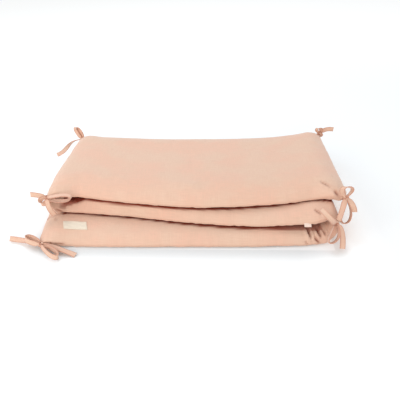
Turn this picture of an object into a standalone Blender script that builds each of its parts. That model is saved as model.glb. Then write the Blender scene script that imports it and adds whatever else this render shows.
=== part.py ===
"""Crib bumper: one long padded strip with sewn-on ties, folded back and forth in three layers.

Metres, +Z up. The origin is on the surface that the bumper lies on, under the middle of its folded
stack. X runs along the layers, and the front edges face -Y.
"""

import math

import bmesh
import bpy
from mathutils import Matrix, Vector

# The padding and its cover.
PAD_THICKNESS = 0.031
SEAM_THICKNESS = 0.002  # where the two cloths of the cover are sewn together, all round
SEAM_SINK = 0.08  # how far the seam sinks below the middle, as a share of the thickness
UPPER_CROWN = 0.055  # from the seam in to full thickness, on the side that faces up
LOWER_CROWN = 0.016  # and on the side that lies on something
END_CROWN = 0.045  # and at the strip's two free ends, on the side that faces up

# The three layers, from the bottom. Each has five evenly spaced sections across the strip, from its
# front seam to its back seam. The height is that of the middle of the padding.
LAYERS = {
    "bottom": {"start_x": -0.347, "end_x": 0.286, "sections": (
        # front y, back y, height
        (-0.208, 0.124, 0.0155),
        (-0.210, 0.129, 0.0155),
        (-0.208, 0.131, 0.0155),
        (-0.206, 0.131, 0.0155),
        (-0.201, 0.128, 0.0155),
    )},
    "middle": {"start_x": 0.286, "end_x": -0.314, "sections": (
        (-0.178, 0.150, 0.0560),
        (-0.181, 0.158, 0.0490),
        (-0.173, 0.166, 0.0480),
        (-0.150, 0.184, 0.0485),
        (-0.134, 0.188, 0.0510),
    )},
    "top": {"start_x": -0.314, "end_x": 0.342, "sections": (
        (-0.126, 0.191, 0.0890),
        (-0.138, 0.193, 0.0820),
        (-0.153, 0.194, 0.0805),
        (-0.144, 0.196, 0.0825),
        (-0.131, 0.208, 0.0905),
    )},
}
# Where a layer turns over into the next one. The ties there draw the seams in.
TURNS = {
    "right": {"bulge": 0.026, "front_drawn_in": 0.020, "back_drawn_in": 0.012, "thickness_left": 0.88},
    "left": {"bulge": 0.022, "front_drawn_in": 0.006, "back_drawn_in": 0.002, "thickness_left": 0.88},
}
TIE_SHARE = 0.64  # how far round a turn its ties are sewn in
DRAWN_IN_REACH = (0.046, 0.026)  # along the strip, before its ties and after them
END_SLANT = 0.033  # how much further out the back corner of the lowest free end lies
CORNER_ROUND = 0.020  # of the corners at the strip's two free ends

# The sections that the solid has along the strip, and the lines along it, from each seam in.
LAYER_SECTIONS = 9
TURN_SECTIONS = 10
BESIDE_TURN = (0.011, 0.024, 0.042)
BESIDE_END = (0.0, 0.004, 0.011, 0.021, 0.036)
LEAST_STEP = 0.0035
EDGE_LINES = (0.0, 0.004, 0.011, 0.024, 0.048, 0.105)
HALF_STRIP = 0.165  # half the strip's width, laid flat

GAP = 0.0003  # between pieces that touch
LABEL_SIZE = (0.053, 0.025, 0.0008)
LABEL_PLACE = (0.079, 0.047)  # its middle: from the lowest free end, and from the front seam
LABEL_SKEW = 0.006  # how much further towards the free end its back edge lies
TAB_SIZE = (0.015, 0.011, 0.0014)  # along the seam, how far it stands proud, thickness
TAB_PLACE = 0.037  # from the start of the middle layer, along its front seam
TAB_DROOP = math.radians(50)
TIE_FROM_END = 0.010  # from a free end to the tie sewn into its corner

STRAP_WIDTH = 0.012
STRAP_THICKNESS = 0.002
STRAP_PINCH = 0.45  # its width in the knot, as a share of its width
PINCH_LENGTH = 0.013
RUNS_APART = 0.0036  # between the two runs of a loop, where they leave the knot
KNOT_RADII = (0.0060, 0.0055, 0.0055)
LOOP_SECTIONS = 13
TAIL_SECTIONS = 7
# Eight ties, each knotted into a bow at a seam. Lengths are in millimetres, from the seam to the knot
# and from the knot on. A strand runs out by its reach; its two runs, or the two halves of a tail, lie
# apart by its swell; its whole middle is off the straight line by its bend. Its flat side is square to
# the tangent and holds the line across.
TIES = {
    "tie_low_end_front": {"place": "low_end", "edge": -1, "knot": (0, -6.2, -3), "strands": (
        # kind, reach, swell, bend, across
        ("tail", (-82, 26, -5), (0, 0, 0), (0, 3, -1), (0.2, 0.35, 0.9)),
        ("loop", (-38, 22, 4), (2, 6, 3), (0, 0, -2), (0.35, -0.25, 0.9)),
        ("loop", (53, -41, -5), (8, 7, 3), (0, 0, 2), (-0.2, -0.35, 0.9)),
        ("tail", (82, -24, -10), (0, 0, 0), (0, 1, 3), (0.25, 0.95, 0.2)),
    )},
    "tie_low_end_back": {"place": "low_end", "edge": 1, "knot": (0, 6.2, -3), "strands": (
        ("tail", (22, 72, -10), (0, 0, 0), (5, 0, 3), (0.95, -0.2, 0.2)),
        ("loop", (44, 20, -4), (-3, 8, 3), (0, 0, 2), (-0.2, 0.3, 0.9)),
        ("loop", (2, 38, -4), (7, -2, 3), (0, 0, 2), (0.3, 0.2, 0.9)),
        ("tail", (70, 34, -10), (0, 0, 0), (0, -5, 3), (-0.3, 0.95, 0.1)),
    )},
    "tie_right_fold_front": {"place": "right", "edge": -1, "knot": (1.2, -7.2, -1), "strands": (
        ("tail", (-34, -2, 39), (0, 0, 0), (-2, -20, 9), (0.75, 0.3, 0.6)),
        ("loop", (-6, -40, -22), (9, 1, 1), (0, -8, 4), (0.4, -0.8, 0.5)),
        ("tail", (14, -44, -33), (0, 0, 0), (9, 2, 10), (1.0, 0.3, 0.1)),
    )},
    "tie_right_fold_back": {"place": "right", "edge": 1, "knot": (0, 6.5, 0), "strands": (
        ("loop", (-14, 24, -28), (9, 1, 2), (0, 0, 0), (0.3, 0.9, 0.4)),
        ("loop", (14, 26, -24), (8, 0, 3), (0, 0, 4), (-0.3, 0.9, 0.5)),
        ("tail", (-38, 44, -33), (0, 0, 0), (0, 4, 8), (0.7, 0.6, 0.2)),
        ("tail", (20, 54, -33), (0, 0, 0), (4, 2, 8), (1.0, -0.3, 0.1)),
    )},
    "tie_left_fold_front": {"place": "left", "edge": -1, "knot": (-4.7, -4.8, 0), "strands": (
        ("tail", (-39, 10, 9), (0, 0, 0), (0, 0, 4), (0.1, 0.4, 1.0)),
        ("loop", (-11, -10, -9), (-3, 0, 4), (0, 0, 0), (0.4, -0.9, 0.1)),
        ("loop", (66, -22, 14), (-1, 3, 7), (0, 0, 2), (0.35, -0.85, 0.4)),
        ("tail", (18, -22, -37), (0, 0, 0), (-1, -9, 6), (0.95, 0.2, 0.3)),
    )},
    "tie_left_fold_back": {"place": "left", "edge": 1, "knot": (-4.6, 4.0, 0), "strands": (
        ("loop", (-15, 1, 33), (6, 2, 4), (0, 0, 0), (0.75, -0.65, 0.3)),
        ("tail", (-103, 35, -66), (-4, 0, 3), (-6, 0, 7), (0.7, 0.1, -0.7)),
        ("loop", (14, 20, -34), (7, 2, 2), (0, 4, 0), (0.2, 0.9, 0.2)),
        ("tail", (4, 26, -62), (2, 0, 0), (0, 7, 4), (0.9, 0.1, 0.1)),
    )},
    "tie_top_end_front": {"place": "top_end", "edge": -1, "knot": (0, -6.0, 0), "strands": (
        ("loop", (-1, -6, 34), (9.5, 0, 0), (0, 0, 0), (0.35, -0.85, 0.35)),
        ("tail", (-11, -32, -40), (0, 0, 0), (0, -3, 2), (0.9, -0.2, -0.2)),
        ("loop", (6, -12, -63), (-9, 0, 2), (3, 0, 0), (0.35, -0.85, -0.3)),
        ("tail", (24, -12, -25), (0, 0, 0), (4, -2, 3), (0.75, 0.3, 0.6)),
    )},
    "tie_top_end_back": {"place": "top_end", "edge": 1, "knot": (11.4, -4.6, 1.6), "strands": (
        ("loop", (-5, 1, 20), (9, 3, 2), (0, 0, 0), (0.5, -0.8, 0.1)),
        ("tail", (41, 0, 12), (0, 0, 0), (-5, 0, 10), (0.1, 0.4, 1.0)),
        ("loop", (-16, 30, -34), (8, -2, 3), (6, 4, 0), (0.2, 0.9, 0.2)),
        ("tail", (-4, 36, -58), (0, 0, 0), (6, 7, 4), (0.9, 0.1, 0.1)),
    )},
}

CLOTH_COLOUR = (0.84, 0.60, 0.46, 1.0)
STRAP_COLOUR = (0.84, 0.58, 0.46, 1.0)
LABEL_COLOUR = (0.86, 0.78, 0.66, 1.0)
TAB_COLOUR = (0.88, 0.72, 0.64, 1.0)


def smooth(share):
    share = max(0.0, min(1.0, share))
    return share * share * (3 - 2 * share)


def mix(a, b, share):
    return a + (b - a) * share


def crown(share):
    """How much of the thickness there is, at a share of the way from the seam to the flat."""
    share = max(0.0, min(1.0, share))
    return (1 - (1 - share) ** 2) ** 0.58


def through(values, share):
    """A smooth curve through evenly spaced values, level at both ends."""
    place = max(0.0, min(1.0, share)) * (len(values) - 1)
    left = min(int(place), len(values) - 2)
    slopes = [0.0, *((values[i + 1] - values[i - 1]) / 2 for i in range(1, len(values) - 1)), 0.0]
    t = place - left
    return ((2 * t ** 3 - 3 * t ** 2 + 1) * values[left] + (t ** 3 - 2 * t ** 2 + t) * slopes[left]
            + (3 * t ** 2 - 2 * t ** 3) * values[left + 1] + (t ** 3 - t ** 2) * slopes[left + 1])


class FoldedStrip:
    """The folded strip's middle surface, and the two faces of its cover on either side of it."""

    def __init__(self):
        self.layers = list(LAYERS.values())
        self.turns = list(TURNS.values())
        lengths = []
        for number, layer in enumerate(self.layers):
            lengths.append(abs(layer["end_x"] - layer["start_x"]))
            if number < len(self.turns):
                rise = self.layers[number + 1]["sections"][0][2] - layer["sections"][-1][2]
                bulge = self.turns[number]["bulge"]
                lengths.append(math.pi * math.sqrt((bulge ** 2 + (rise / 2) ** 2) / 2))
        self.lengths = lengths
        self.starts = [sum(lengths[:i]) for i in range(len(lengths))]
        self.length = sum(lengths)
        self.tie_places = [self.starts[i] + lengths[i] * TIE_SHARE for i in range(1, len(lengths), 2)]

    def piece_at(self, along):
        number = max(i for i, start in enumerate(self.starts) if along >= start or i == 0)
        return number, (along - self.starts[number]) / self.lengths[number]

    def near_turns(self, along, values):
        """The turns' values, each at its full at that turn's ties and fading along the strip."""
        total = 0.0
        for value, place in zip(values, self.tie_places):
            reach = DRAWN_IN_REACH[0 if along < place else 1]
            total += value * math.exp(-((along - place) / reach) ** 2)
        return total

    def middle(self, along, back_share):
        """A point of the middle surface, from the front seam (0) to the back seam (1)."""
        number, share = self.piece_at(along)
        layer = self.layers[number // 2]
        if number % 2:
            after = self.layers[number // 2 + 1]
            angle = math.pi * (share - 0.5)
            outward = 1 if layer["end_x"] > layer["start_x"] else -1
            x = layer["end_x"] + outward * self.turns[number // 2]["bulge"] * math.cos(angle)
            below, above = layer["sections"][-1], after["sections"][0]
            front, back = (mix(below[i], above[i], smooth(share)) for i in (0, 1))
            height = mix(below[2], above[2], (1 + math.sin(angle)) / 2)
        else:
            x = mix(layer["start_x"], layer["end_x"], share)
            front, back, height = (through(values, share) for values in zip(*layer["sections"]))
        if number == 0:
            x -= END_SLANT * back_share * (1 - share) ** 2
        to_end = max(0.0, min(along, self.length - along, CORNER_ROUND))
        rounded = CORNER_ROUND - math.sqrt(to_end * (2 * CORNER_ROUND - to_end))
        front += self.near_turns(along, [turn["front_drawn_in"] for turn in self.turns]) + rounded
        back -= self.near_turns(along, [turn["back_drawn_in"] for turn in self.turns]) + rounded
        return Vector((x, mix(front, back, back_share), height))

    def point(self, along, from_edge, edge, side, lift=0.0):
        """A point of the cover: from_edge metres in from the front (-1) or back (1) seam, on the inner
        (1) or outer (-1) side of the fold, and lift metres off the cloth."""
        front, back = self.middle(along, 0.0), self.middle(along, 1.0)
        share = from_edge / (back - front).length
        share = share if edge < 0 else 1 - share
        middle = self.middle(along, share)
        step = 0.002
        before, after = max(0.0, along - step), min(self.length, along + step)
        heading = (self.middle(after, share) - self.middle(before, share)).normalized()
        inner = heading.cross((back - front).normalized()).normalized()

        lost = self.near_turns(along, [1 - turn["thickness_left"] for turn in self.turns])
        thickness = PAD_THICKNESS * (1 - lost)
        facing_up = (1 + inner.z * side) / 2
        to_end = min(along, self.length - along)
        full = (crown(from_edge / mix(LOWER_CROWN, UPPER_CROWN, facing_up))
                * crown(to_end / mix(LOWER_CROWN, END_CROWN, facing_up)))
        at_seam = side * SEAM_THICKNESS / 2 - SEAM_SINK * thickness * inner.z
        height = mix(at_seam, side * thickness / 2, full)
        return middle + inner * (height + side * lift)


def sections(strip):
    """Where along the strip its solid has a section."""
    found = [*BESIDE_END, *(strip.length - place for place in BESIDE_END)]
    for number, (start, length) in enumerate(zip(strip.starts, strip.lengths)):
        count = TURN_SECTIONS if number % 2 else LAYER_SECTIONS
        found += [start + length * step / count for step in range(count + 1)]
        if number % 2:
            found += [start - place for place in BESIDE_TURN]
            found += [start + length + place for place in BESIDE_TURN]
    kept = []
    for place in sorted(found):
        if not kept or place - kept[-1] > LEAST_STEP:
            kept.append(place)
    kept[-1] = strip.length
    return kept


def flat_box(size, cuts_x, cuts_y):
    """A closed box one metre thick, from X 0 and about Y 0, cut across at each place given."""
    mesh = bmesh.new()
    bmesh.ops.create_cube(mesh, size=1.0, matrix=Matrix.Translation((size[0] / 2, 0, 0))
                          @ Matrix.Diagonal((size[0], size[1], 1.0, 1.0)))
    for places, normal in ((cuts_x, Vector((1, 0, 0))), (cuts_y, Vector((0, 1, 0)))):
        for place in places:
            bmesh.ops.bisect_plane(mesh, geom=[*mesh.verts, *mesh.edges, *mesh.faces],
                                   plane_co=normal * place, plane_no=normal, dist=1e-7)
    return mesh


def add_object(name, mesh, material):
    bmesh.ops.triangulate(mesh, faces=mesh.faces)
    data = bpy.data.meshes.new(name)
    mesh.to_mesh(data)
    mesh.free()
    data.materials.append(material)
    data.shade_smooth()
    made = bpy.data.objects.new(name, data)
    bpy.context.scene.collection.objects.link(made)
    return made


def cloth_material(name, colour, roughness):
    material = bpy.data.materials.new(name)
    material.use_nodes = True
    shader = material.node_tree.nodes["Principled BSDF"]
    shader.inputs["Base Color"].default_value = colour
    shader.inputs["Roughness"].default_value = roughness
    shader.inputs["Metallic"].default_value = 0.0
    return material


def bumper_pad(strip, material):
    lines = sorted([0.0, *(side * (HALF_STRIP - place) for place in EDGE_LINES for side in (-1, 1))])
    mesh = flat_box((strip.length, 2 * HALF_STRIP), sections(strip)[1:-1], lines[1:-1])
    for vertex in mesh.verts:
        along, across, side = vertex.co
        edge = 1 if across > 0 else -1
        from_edge = HALF_STRIP - abs(across)
        if from_edge > EDGE_LINES[-1]:
            front, back = strip.middle(along, 0.0), strip.middle(along, 1.0)
            from_edge = (back - front).length / 2
        vertex.co = strip.point(along, from_edge, edge, 1 if side > 0 else -1)
    return add_object("bumper_pad", mesh, material)


def label(strip, material):
    """The patch sewn flat on the bottom layer, near its free end."""
    width, depth, thickness = LABEL_SIZE
    mesh = flat_box((width, depth), [width * step / 4 for step in (1, 2, 3)], [0.0])
    for vertex in mesh.verts:
        x, y, side = vertex.co
        along = LABEL_PLACE[0] - width / 2 + x - LABEL_SKEW * y / depth
        lift = GAP + (thickness if side > 0 else 0.0)
        vertex.co = strip.point(along, LABEL_PLACE[1] + y, -1, 1, lift)
    return add_object("label", mesh, material)


def care_tab(strip, material):
    """The small folded tab caught in the middle layer's front seam."""
    width, proud, thickness = TAB_SIZE
    seam = strip.point(strip.starts[2] + TAB_PLACE, 0.0, -1, 1)
    mesh = flat_box((width, proud), [], [])
    droop = Matrix.Rotation(TAB_DROOP, 4, "X")
    place = Matrix.Translation(seam + Vector((0, -GAP - thickness / 2, 0)))
    for vertex in mesh.verts:
        x, y, side = vertex.co
        vertex.co = place @ droop @ Vector((x - width / 2, y - proud / 2, side * thickness))
    return add_object("care_tab", mesh, material)


def strand_path(kind, reach, swell, bend, share):
    """Where a strand's middle is, from the knot, at a share of the way along it."""
    out = math.sin(math.pi * share) if kind == "loop" else share
    start_apart = swell.normalized() * (1 - 2 * share) * RUNS_APART / 2 if kind == "loop" else Vector()
    return reach * out + swell * math.sin(2 * math.pi * share) + bend * 4 * out * (1 - out) + start_apart


def strand(kind, reach, swell, bend, across):
    """A closed flat strap along its path, as a new mesh around the knot's middle."""
    reach, swell, bend = (Vector(column) / 1000 for column in (reach, swell, bend))
    across = Vector(across)
    count = LOOP_SECTIONS if kind == "loop" else TAIL_SECTIONS
    points = [strand_path(kind, reach, swell, bend, step / count) for step in range(count + 1)]
    walked = [0.0]
    for before, after in zip(points, points[1:]):
        walked.append(walked[-1] + (after - before).length)
    mesh = bmesh.new()
    rings = []
    for number, point in enumerate(points):
        heading = points[min(number + 1, count)] - points[max(number - 1, 0)]
        heading.normalize()
        wide = (across - heading * across.dot(heading)).normalized()
        thick = heading.cross(wide)
        from_knot = min(walked[number], walked[-1] - walked[number]) if kind == "loop" else walked[number]
        half_wide = STRAP_WIDTH / 2 * mix(STRAP_PINCH, 1.0, smooth(from_knot / PINCH_LENGTH))
        half_thick = STRAP_THICKNESS / 2
        rings.append([mesh.verts.new(point + wide * half_wide * a + thick * half_thick * b)
                      for a, b in ((-1, -1), (1, -1), (1, 1), (-1, 1))])
    for before, after in zip(rings, rings[1:]):
        for corner in range(4):
            following = (corner + 1) % 4
            mesh.faces.new((before[corner], before[following], after[following], after[corner]))
    mesh.faces.new(reversed(rings[0]))
    mesh.faces.new(rings[-1])
    bmesh.ops.recalc_face_normals(mesh, faces=mesh.faces)
    return mesh


def tie(strip, name, row, material):
    """One tie: its knot at the seam, with the loops and tails of its bow united with it."""
    along = {"low_end": TIE_FROM_END, "right": strip.tie_places[0], "left": strip.tie_places[1],
             "top_end": strip.length - TIE_FROM_END}[row["place"]]
    seam = strip.middle(along, 0.0 if row["edge"] < 0 else 1.0)
    knot = seam + Vector(row["knot"]) / 1000
    mesh = bmesh.new()
    bmesh.ops.create_icosphere(mesh, subdivisions=2, radius=1.0, matrix=Matrix.Translation(knot)
                               @ Matrix.Diagonal((*KNOT_RADII, 1.0)))
    made = add_object(name, mesh, material)
    for number, columns in enumerate(row["strands"]):
        mesh = strand(*columns)
        bmesh.ops.translate(mesh, vec=knot, verts=mesh.verts)
        cutter = add_object(f"{name}_strand_{number}", mesh, material)
        cutter.hide_render = True
        cutter.display_type = "WIRE"
        union = made.modifiers.new(f"strand_{number}", "BOOLEAN")
        union.operation = "UNION"
        union.solver = "EXACT"
        union.use_self = True
        union.object = cutter
    return made


def main():
    for old in list(bpy.data.objects):
        bpy.data.objects.remove(old)
    cloth = cloth_material("washed_cotton", CLOTH_COLOUR, 0.9)
    strip = FoldedStrip()
    bumper_pad(strip, cloth)
    label(strip, cloth_material("label_cloth", LABEL_COLOUR, 0.8))
    care_tab(strip, cloth_material("tab_cloth", TAB_COLOUR, 0.8))
    straps = cloth_material("strap_cloth", STRAP_COLOUR, 0.9)
    for name, row in TIES.items():
        tie(strip, name, row, straps)


main()
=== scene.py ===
"""The crib bumper's looks: a padded strip of washed cotton, folded in three, with its ties and labels.

Metres, +Z up. The strip's folded shape is worked out from the CAD's layers and turns, on a finer grid, with
its seams lower and its lips rolled further under. "along" runs along the strip from its lowest free end,
and "from_edge" runs in from a long seam.
"""

import math

import bmesh
import bpy
import numpy as np
from mathutils import Matrix, Vector
from mathutils.bvhtree import BVHTree


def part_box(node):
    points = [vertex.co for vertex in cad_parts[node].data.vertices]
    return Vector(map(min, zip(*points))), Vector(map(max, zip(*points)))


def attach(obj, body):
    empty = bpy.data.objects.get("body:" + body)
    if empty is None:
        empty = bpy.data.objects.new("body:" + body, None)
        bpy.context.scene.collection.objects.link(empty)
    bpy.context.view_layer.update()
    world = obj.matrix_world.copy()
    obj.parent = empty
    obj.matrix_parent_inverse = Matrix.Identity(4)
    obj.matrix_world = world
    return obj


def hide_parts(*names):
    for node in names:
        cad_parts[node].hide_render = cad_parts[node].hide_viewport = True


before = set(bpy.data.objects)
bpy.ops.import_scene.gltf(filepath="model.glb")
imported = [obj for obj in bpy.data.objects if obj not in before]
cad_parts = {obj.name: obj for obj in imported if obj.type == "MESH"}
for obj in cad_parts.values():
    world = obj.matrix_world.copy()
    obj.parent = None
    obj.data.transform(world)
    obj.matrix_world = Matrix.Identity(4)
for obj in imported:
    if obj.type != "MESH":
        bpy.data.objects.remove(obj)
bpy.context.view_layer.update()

MM = 0.001
scene = bpy.context.scene

# The photograph's camera.
PHOTO_SIDE = 400  # pixels
PHOTO_FOCAL = 420  # pixels
SENSOR = 36.0  # millimetres
CAMERA_PLACE = Vector((0.052, -0.923, 0.593))
CAMERA_DOWN = math.radians(33)
CAMERA_YAW = math.radians(2.8)
CAMERA_ROLL = math.radians(-1.4)

# The padding and its cover. The layers and turns are the CAD's, and the edges are this script's own.
PAD_THICKNESS = 0.031
SEAM_SINK = (0.08, 0.40)  # share that the seam lies below the middle, at a tie and away from it
LIP_BACK = (  # how far each layer's front seam rolls under it, at its five sections
    (0.003, 0.003, 0.003, 0.003, 0.004),
    (0.005, 0.0075, 0.0135, 0.0145, 0.009),
    (0.012, 0.007, 0.006, 0.0075, 0.013),
)
SINK_REACH = (0.015, 0.070)  # from a tie to where the seam starts to sink, and to where it has sunk
UPPER_CROWN = 0.055  # from the seam in to full thickness, on the side that faces up
LOWER_CROWN = 0.007  # and on the side that lies on something
END_CROWN = 0.045  # and at the strip's two free ends, on the side that faces up
CROWN_POWER = 0.58  # lower is fuller near the seam
LAYERS = (
    # start x, end x, five sections of (front y, back y, height of the middle)
    (-0.347, 0.286, ((-0.208, 0.124, 0.0155), (-0.210, 0.129, 0.0155), (-0.208, 0.131, 0.0155),
                     (-0.206, 0.131, 0.0155), (-0.201, 0.128, 0.0155))),
    (0.286, -0.314, ((-0.178, 0.150, 0.0560), (-0.181, 0.158, 0.0490), (-0.173, 0.166, 0.0480),
                     (-0.150, 0.184, 0.0485), (-0.134, 0.188, 0.0510))),
    (-0.314, 0.342, ((-0.126, 0.191, 0.0890), (-0.138, 0.193, 0.0820), (-0.153, 0.194, 0.0805),
                     (-0.144, 0.196, 0.0825), (-0.131, 0.208, 0.0905))),
)
TURN_BULGE = (0.026, 0.022)  # how far each turn bulges past its layers
DRAWN_FRONT, DRAWN_BACK = (0.020, 0.006), (0.012, 0.002)  # how far its ties draw in its seams
THICKNESS_LOST = (0.12, 0.12)  # and the share of the thickness that it loses there
TIE_SHARE = 0.64  # how far round a turn its ties are sewn in
DRAWN_IN_REACH = (0.046, 0.026)  # along the strip, before its ties and after them
END_SLANT = 0.033
CORNER_ROUND = 0.020
TIE_FROM_END = 0.010


# ------ the folded strip

def smooth(share):
    share = np.clip(share, 0, 1)
    return share * share * (3 - 2 * share)


def ramp(value, start, end):
    """0 before start, 1 after end, and smooth between."""
    return smooth((value - start) / (end - start))


def mix(a, b, share):
    return a + (b - a) * share


def crown(share):
    """How much of the thickness there is, at a share of the way from the seam to the flat."""
    return (1 - (1 - np.clip(share, 0, 1)) ** 2) ** CROWN_POWER


def through(values, share):
    """A smooth curve through evenly spaced values, level at both ends."""
    values = np.asarray(values, float)
    slopes = np.zeros(len(values))
    slopes[1:-1] = (values[2:] - values[:-2]) / 2
    place = np.clip(share, 0, 1) * (len(values) - 1)
    left = np.minimum(place.astype(int), len(values) - 2)
    t = place - left
    return ((2 * t ** 3 - 3 * t ** 2 + 1) * values[left] + (t ** 3 - 2 * t ** 2 + t) * slopes[left]
            + (3 * t ** 2 - 2 * t ** 3) * values[left + 1] + (t ** 3 - t ** 2) * slopes[left + 1])


def unit(vectors):
    return vectors / np.maximum(np.linalg.norm(vectors, axis=-1, keepdims=True), 1e-12)


class FoldedStrip:
    """The folded strip's middle surface, and the two faces of its cover on either side of it."""

    def __init__(self):
        lengths = []
        for number, (start_x, end_x, sections) in enumerate(LAYERS):
            lengths.append(abs(end_x - start_x))
            if number < len(TURN_BULGE):
                rise = LAYERS[number + 1][2][0][2] - sections[-1][2]
                lengths.append(math.pi * math.sqrt((TURN_BULGE[number] ** 2 + (rise / 2) ** 2) / 2))
        self.lengths = np.array(lengths)
        self.starts = np.concatenate([[0], np.cumsum(lengths)[:-1]])
        self.length = float(sum(lengths))
        right, left = (self.starts[i] + lengths[i] * TIE_SHARE for i in (1, 3))
        self.tie_places = {"low_end": TIE_FROM_END, "right_fold": right, "left_fold": left,
                           "top_end": self.length - TIE_FROM_END}

    def piece_at(self, along):
        return np.clip(np.searchsorted(self.starts, along, side="right") - 1, 0, 4)

    def near_turns(self, along, values):
        """The turns' values, each at its full at that turn's ties and fading along the strip."""
        total = np.zeros_like(along)
        for value, fold in zip(values, ("right_fold", "left_fold")):
            place = self.tie_places[fold]
            reach = np.where(along < place, *DRAWN_IN_REACH)
            total += value * np.exp(-((along - place) / reach) ** 2)
        return total

    def between_ties(self, along):
        """0 at a tie, and 1 away from it."""
        from_tie = np.min([np.abs(along - place) for place in self.tie_places.values()], axis=0)
        return ramp(from_tie, *SINK_REACH)

    def middle(self, along, back_share):
        """Points of the middle surface, from the front seam (0) to the back seam (1)."""
        along, back_share = np.broadcast_arrays(np.asarray(along, float), np.asarray(back_share, float))
        pieces = self.piece_at(along)
        x, front, back, height, lip = (np.zeros_like(along) for _ in range(5))
        for number in range(5):
            here = pieces == number
            share = (along[here] - self.starts[number]) / self.lengths[number]
            start_x, end_x, sections = LAYERS[number // 2]
            if number % 2:
                below, above = sections[-1], LAYERS[number // 2 + 1][2][0]
                angle = np.pi * (share - 0.5)
                outward = 1 if end_x > start_x else -1
                x[here] = end_x + outward * TURN_BULGE[number // 2] * np.cos(angle)
                front[here], back[here] = (mix(below[i], above[i], smooth(share)) for i in (0, 1))
                height[here] = mix(below[2], above[2], (1 + np.sin(angle)) / 2)
                lip[here] = mix(LIP_BACK[number // 2][-1], LIP_BACK[number // 2 + 1][0], smooth(share))
            else:
                x[here] = mix(start_x, end_x, share)
                front[here], back[here], height[here] = (through(v, share) for v in zip(*sections))
                lip[here] = through(LIP_BACK[number // 2], share)
            if number == 0:
                x[here] -= END_SLANT * back_share[here] * (1 - share) ** 2
        to_end = np.clip(np.minimum(along, self.length - along), 0, CORNER_ROUND)
        rounded = CORNER_ROUND - np.sqrt(to_end * (2 * CORNER_ROUND - to_end))
        front = front + self.near_turns(along, DRAWN_FRONT) + rounded
        back = back - self.near_turns(along, DRAWN_BACK) - rounded
        front = front + lip * self.between_ties(along)
        return np.stack([x, mix(front, back, back_share), height], axis=-1)

    def cover(self, along, from_edge, edge, side):
        """Points of the cover, and the way off the cloth there: from_edge in from the front (-1) or back
        (1) seam, on the inner (1) or outer (-1) side of the fold."""
        along, from_edge, edge, side = np.broadcast_arrays(
            *(np.asarray(value, float) for value in (along, from_edge, edge, side)))
        front, back = self.middle(along, 0), self.middle(along, 1)
        share = from_edge / np.linalg.norm(back - front, axis=-1)
        share = np.where(edge < 0, share, 1 - share)
        middle = self.middle(along, share)
        before, after = np.maximum(0, along - 2 * MM), np.minimum(self.length, along + 2 * MM)
        heading = unit(self.middle(after, share) - self.middle(before, share))
        inner = unit(np.cross(heading, unit(back - front)))
        thickness = PAD_THICKNESS * (1 - self.near_turns(along, THICKNESS_LOST))
        facing_up = (1 + inner[..., 2] * side) / 2
        to_end = np.minimum(along, self.length - along)
        full = (crown(from_edge / mix(LOWER_CROWN, UPPER_CROWN, facing_up))
                * crown(to_end / mix(LOWER_CROWN, END_CROWN, facing_up)))
        at_seam = -mix(*SEAM_SINK, self.between_ties(along)) * thickness * inner[..., 2]
        height = mix(at_seam, side * thickness / 2, full)
        return middle + inner * height[..., None], inner * side[..., None]


strip = FoldedStrip()


def wander(u, v, seed):
    """Smooth random values about 0 at plane places, one cell to a unit, the same each run."""
    cells = 64
    table = np.random.default_rng(seed).uniform(-1, 1, (cells, cells))
    i, j = np.floor(u).astype(int), np.floor(v).astype(int)
    lines = [mix(table[i % cells, line], table[(i + 1) % cells, line], smooth(u - i))
             for line in (j % cells, (j + 1) % cells)]
    return mix(*lines, smooth(v - j))


# ------ meshes

def grid_quads(grid):
    """Quads between the points of a grid of point numbers."""
    corners = (grid[:-1, :-1], grid[1:, :-1], grid[1:, 1:], grid[:-1, 1:])
    return np.stack(corners, axis=-1).reshape(-1, 4)


def rim_of(grid):
    """What lies round the rim of a grid, in order."""
    return np.concatenate([grid[0], grid[1:, -1], grid[-1, -2::-1], grid[-2:0:-1, 0]])


def new_object(name, data):
    made = bpy.data.objects.new(name, data)
    scene.collection.objects.link(made)
    return made


def mesh_object(name, points, faces, material, uv, **values):
    """A smooth mesh. uv and each of the values has one entry to a point."""
    mesh = bpy.data.meshes.new(name)
    mesh.from_pydata(np.asarray(points).tolist(), [], [tuple(face) for face in faces])
    corners = np.zeros(len(mesh.loops), int)
    mesh.loops.foreach_get("vertex_index", corners)
    mesh.uv_layers.new(name="cloth").data.foreach_set("uv", np.asarray(uv)[corners].ravel())
    for key, numbers in values.items():
        mesh.attributes.new(key, "FLOAT", "POINT").data.foreach_set("value", np.asarray(numbers, np.float32))
    mesh.shade_smooth()
    mesh.materials.append(material)
    return new_object(name, mesh)


class Shells:
    """Closed shells, gathered for one mesh."""

    def __init__(self):
        self.points, self.uv, self.faces = [], [], []

    def add(self, rings, ring_uv, closed=False):
        """A tube through rings of points that run round the same way. Its ends are capped, or joined."""
        count, around = rings.shape[:2]
        grid = len(self.points) + np.arange(count * around).reshape(count, around)
        self.points.extend(rings.reshape(-1, 3))
        self.uv.extend(ring_uv.reshape(-1, 2))
        tube = np.pad(grid, ((0, int(closed)), (0, 1)), mode="wrap")
        self.faces.extend(grid_quads(tube)[:, [0, 3, 2, 1]])
        if not closed:
            self.faces.extend([grid[0, ::-1], grid[-1]])

    def build(self, name, material, sharp_from=50):
        made = mesh_object(name, self.points, self.faces, material, self.uv)
        shape = bmesh.new()
        shape.from_mesh(made.data)
        bmesh.ops.recalc_face_normals(shape, faces=shape.faces)
        shape.to_mesh(made.data)
        shape.free()
        made.data.set_sharp_from_angle(angle=math.radians(sharp_from))
        return made


# ------ materials

def fill(made, inputs):
    """Sets a node's inputs, or links them where they come from another node."""
    for key, value in dict(inputs).items():
        if isinstance(value, bpy.types.NodeSocket):
            made.id_data.links.new(value, made.inputs[key])
        else:
            made.inputs[key].default_value = value
    return made


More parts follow.
